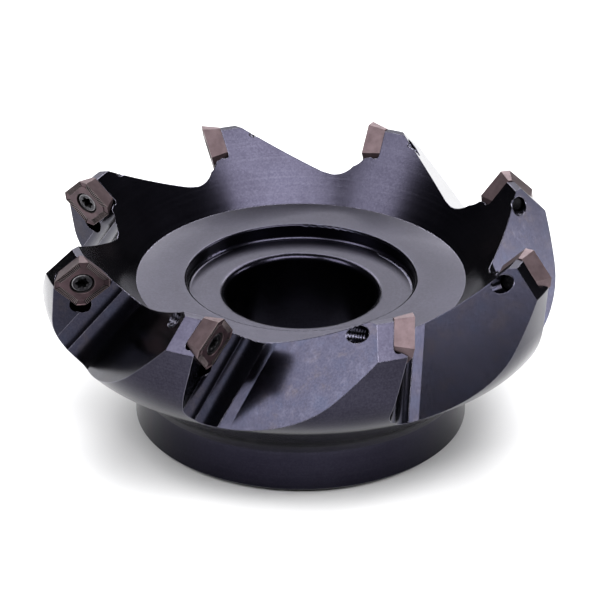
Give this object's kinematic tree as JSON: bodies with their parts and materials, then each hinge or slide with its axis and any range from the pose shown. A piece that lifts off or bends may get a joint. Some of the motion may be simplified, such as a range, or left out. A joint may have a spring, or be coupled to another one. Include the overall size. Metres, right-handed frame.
{
  "type": "face mill",
  "caption": "A 45 degree face mill of the shell type, with indexable carbide inserts screwed into pocketed teeth, an arbor bore and a counterbore.",
  "frame": {"origin": "centre of the back (hub) face, on the axis of the arbor bore", "axes": "+Z along the bore from the back face towards the cutting face; the first tooth is 26.67 degrees from +X"},
  "size_m": [0.135, 0.135, 0.0575],
  "materials": {
    "blued_steel": "satin",
    "coated_carbide": "satin",
    "black_screw_steel": "satin"
  },
  "bodies": {
    "cutter": {"cutter_body": "blued_steel"},
    "insert_1": {"insert_1": "coated_carbide"},
    "insert_screw_1": {"insert_screw_1": "black_screw_steel"},
    "insert_2": {"insert_2": "coated_carbide"},
    "insert_screw_2": {"insert_screw_2": "black_screw_steel"},
    "insert_3": {"insert_3": "coated_carbide"},
    "insert_screw_3": {"insert_screw_3": "black_screw_steel"},
    "insert_4": {"insert_4": "coated_carbide"},
    "insert_screw_4": {"insert_screw_4": "black_screw_steel"},
    "insert_5": {"insert_5": "coated_carbide"},
    "insert_screw_5": {"insert_screw_5": "black_screw_steel"},
    "insert_6": {"insert_6": "coated_carbide"},
    "insert_screw_6": {"insert_screw_6": "black_screw_steel"},
    "insert_7": {"insert_7": "coated_carbide"},
    "insert_screw_7": {"insert_screw_7": "black_screw_steel"},
    "insert_8": {"insert_8": "coated_carbide"},
    "insert_screw_8": {"insert_screw_8": "black_screw_steel"}
  },
  "joints": [
    {"name": "insert_1_lift", "type": "slide", "parent": "cutter", "child": "insert_1", "axis": [-0.1849, 0.9538, -0.2368], "range_m": [0, 0.014]},
    {"name": "insert_screw_1_turn", "type": "hinge", "parent": "insert_1", "child": "insert_screw_1", "pos_m": [0.05541, 0.02591, 0.05047], "axis": [-0.1849, 0.9538, -0.2368], "continuous": true},
    {"name": "insert_2_lift", "type": "slide", "parent": "cutter", "child": "insert_2", "axis": [-0.8052, 0.5437, -0.2368], "range_m": [0, 0.014]},
    {"name": "insert_screw_2_turn", "type": "hinge", "parent": "insert_2", "child": "insert_screw_2", "pos_m": [0.02085, 0.0575, 0.05047], "axis": [-0.8052, 0.5437, -0.2368], "continuous": true},
    {"name": "insert_3_lift", "type": "slide", "parent": "cutter", "child": "insert_3", "axis": [-0.9538, -0.1849, -0.2368], "range_m": [0, 0.014]},
    {"name": "insert_screw_3_turn", "type": "hinge", "parent": "insert_3", "child": "insert_screw_3", "pos_m": [-0.02591, 0.05541, 0.05047], "axis": [-0.9538, -0.1849, -0.2368], "continuous": true},
    {"name": "insert_4_lift", "type": "slide", "parent": "cutter", "child": "insert_4", "axis": [-0.5437, -0.8052, -0.2368], "range_m": [0, 0.014]},
    {"name": "insert_screw_4_turn", "type": "hinge", "parent": "insert_4", "child": "insert_screw_4", "pos_m": [-0.0575, 0.02085, 0.05047], "axis": [-0.5437, -0.8052, -0.2368], "continuous": true},
    {"name": "insert_5_lift", "type": "slide", "parent": "cutter", "child": "insert_5", "axis": [0.1849, -0.9538, -0.2368], "range_m": [0, 0.014]},
    {"name": "insert_screw_5_turn", "type": "hinge", "parent": "insert_5", "child": "insert_screw_5", "pos_m": [-0.05541, -0.02591, 0.05047], "axis": [0.1849, -0.9538, -0.2368], "continuous": true},
    {"name": "insert_6_lift", "type": "slide", "parent": "cutter", "child": "insert_6", "axis": [0.8052, -0.5437, -0.2368], "range_m": [0, 0.014]},
    {"name": "insert_screw_6_turn", "type": "hinge", "parent": "insert_6", "child": "insert_screw_6", "pos_m": [-0.02085, -0.0575, 0.05047], "axis": [0.8052, -0.5437, -0.2368], "continuous": true},
    {"name": "insert_7_lift", "type": "slide", "parent": "cutter", "child": "insert_7", "axis": [0.9538, 0.1849, -0.2368], "range_m": [0, 0.014]},
    {"name": "insert_screw_7_turn", "type": "hinge", "parent": "insert_7", "child": "insert_screw_7", "pos_m": [0.02591, -0.05541, 0.05047], "axis": [0.9538, 0.1849, -0.2368], "continuous": true},
    {"name": "insert_8_lift", "type": "slide", "parent": "cutter", "child": "insert_8", "axis": [0.5437, 0.8052, -0.2368], "range_m": [0, 0.014]},
    {"name": "insert_screw_8_turn", "type": "hinge", "parent": "insert_8", "child": "insert_screw_8", "pos_m": [0.0575, -0.02085, 0.05047], "axis": [0.5437, 0.8052, -0.2368], "continuous": true}
  ]
}
